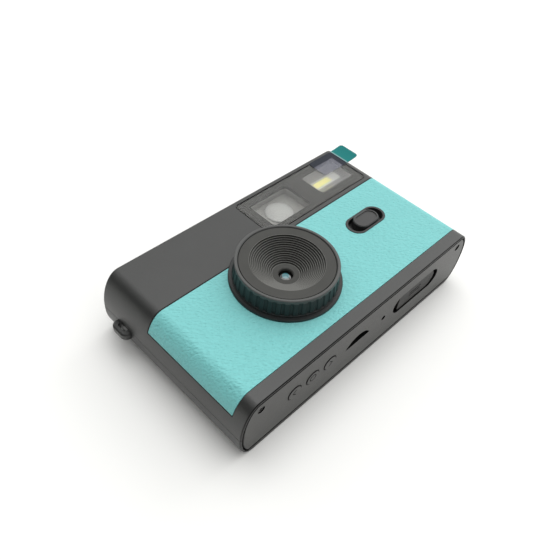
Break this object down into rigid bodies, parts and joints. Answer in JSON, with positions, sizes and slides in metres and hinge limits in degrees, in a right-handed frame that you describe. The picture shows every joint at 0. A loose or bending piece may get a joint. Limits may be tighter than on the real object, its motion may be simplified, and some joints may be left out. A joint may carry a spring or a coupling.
{
  "type": "compact viewfinder camera",
  "caption": "Slim retro viewfinder digital camera with a ribbed lens ring, stepped lens cone, leatherette band, window panel, slide switch, base keys and a side cord loop.",
  "frame": {"origin": "middle of the flat back face", "axes": "+X along the body's length towards the window panel's end, +Y from the bottom face to the top face, +Z from the back out of the lens"},
  "size_m": [0.119, 0.0688, 0.0338],
  "materials": {
    "shell_plastic": "fine matt moulded texture, charcoal grey",
    "leatherette": "turquoise pebbled leatherette",
    "lens_plastic": "satin, nearly black",
    "baffle_plastic": "satin dark grey",
    "clear_panel": "clear, polished",
    "dark_print": "satin dark olive grey print",
    "clear_film": "thin clear film",
    "blue_film": "thin blue tinted film",
    "teal_film": "satin teal green film",
    "optical_glass": "polished, with a faint blue coating",
    "finder_plastic": "light grey, smooth",
    "reflector_plastic": "silvery grey, semi-gloss",
    "white_strip": "white, semi-gloss",
    "yellow_phosphor": "pale yellow phosphor",
    "circuit_board": "green solder mask",
    "chip_plastic": "black moulded package",
    "steel": "plated, plain",
    "black_steel": "blackened screw",
    "rubber": "soft matt dark grey",
    "cell_foil": "silver foil pouch",
    "foam": "black adhesive foam",
    "wire_cover": "black insulated wire",
    "ribbon_film": "amber flat cable",
    "smoked_window": "dark tinted, polished",
    "display_cell": "grey display cell",
    "light_guide": "frosted clear"
  },
  "bodies": {
    "camera": {"front_shell": "shell_plastic", "back_cover": "shell_plastic", "bottom_plate": "shell_plastic", "top_plate": "shell_plastic", "bottom_screws": "black_steel", "top_screws": "black_steel", "leatherette": "leatherette", "lens_base": "lens_plastic", "lens_ring": "lens_plastic", "cone_baffle": "baffle_plastic", "front_glass": "optical_glass", "rear_glass": "optical_glass", "lens_tube": "lens_plastic", "lens_holder": "chip_plastic", "image_sensor": "smoked_window", "window_panel": "clear_panel", "panel_mask": "dark_print", "protective_film": "clear_film", "film_tail": "blue_film", "pull_tab": "teal_film", "finder_objective": "optical_glass", "finder_tunnel": "finder_plastic", "finder_eyepiece": "optical_glass", "flash_diffuser": "clear_panel", "flash_reflector": "reflector_plastic", "flash_base": "white_strip", "flash_emitter": "yellow_phosphor", "flash_board": "circuit_board", "flash_ribbon": "ribbon_film", "main_board": "circuit_board", "board_screws": "steel", "processor_chip": "chip_plastic", "power_coil": "chip_plastic", "switch_bezel": "shell_plastic", "switch_body": "steel", "shutter_switch": "chip_plastic", "key_switches": "chip_plastic", "charging_port": "steel", "port_tongue": "chip_plastic", "port_cover_anchor": "rubber", "card_socket": "steel", "microphone": "steel", "battery": "cell_foil", "battery_pads": "foam", "battery_leads": "wire_cover", "counter_window": "smoked_window", "counter_display": "display_cell", "status_light": "light_guide"},
    "shutter": {"shutter_button": "shell_plastic", "shutter_plunger": "chip_plastic"},
    "left_key": {"key_button_left": "shell_plastic", "key_plunger_left": "chip_plastic"},
    "middle_key": {"key_button_middle": "shell_plastic", "key_plunger_middle": "chip_plastic"},
    "right_key": {"key_button_right": "shell_plastic", "key_plunger_right": "chip_plastic"},
    "slider": {"switch_knob": "shell_plastic", "switch_lever": "chip_plastic"},
    "port_flap": {"port_cover": "rubber"}
  },
  "joints": [
    {"name": "shutter_press", "type": "slide", "parent": "camera", "child": "shutter", "axis": [0, -1, 0], "range_m": [0, 0.001], "stiffness_N_per_m": 800, "springref_m": -0.0005},
    {"name": "slider_shift", "type": "slide", "parent": "camera", "child": "slider", "axis": [1, 0, 0], "range_m": [-0.00235, 0.00235]},
    {"name": "port_flap_turn", "type": "hinge", "parent": "camera", "child": "port_flap", "pos_m": [0.03817, -0.0327, 0.0146], "axis": [0, 0, 1], "range_deg": [0, 110]},
    {"name": "left_key_press", "type": "slide", "parent": "camera", "child": "left_key", "axis": [0, 1, 0], "range_m": [0, 0.00035], "stiffness_N_per_m": 1200, "springref_m": -0.0003},
    {"name": "middle_key_press", "type": "slide", "parent": "camera", "child": "middle_key", "axis": [0, 1, 0], "range_m": [0, 0.00035], "stiffness_N_per_m": 1200, "springref_m": -0.0003},
    {"name": "right_key_press", "type": "slide", "parent": "camera", "child": "right_key", "axis": [0, 1, 0], "range_m": [0, 0.00035], "stiffness_N_per_m": 1200, "springref_m": -0.0003}
  ]
}
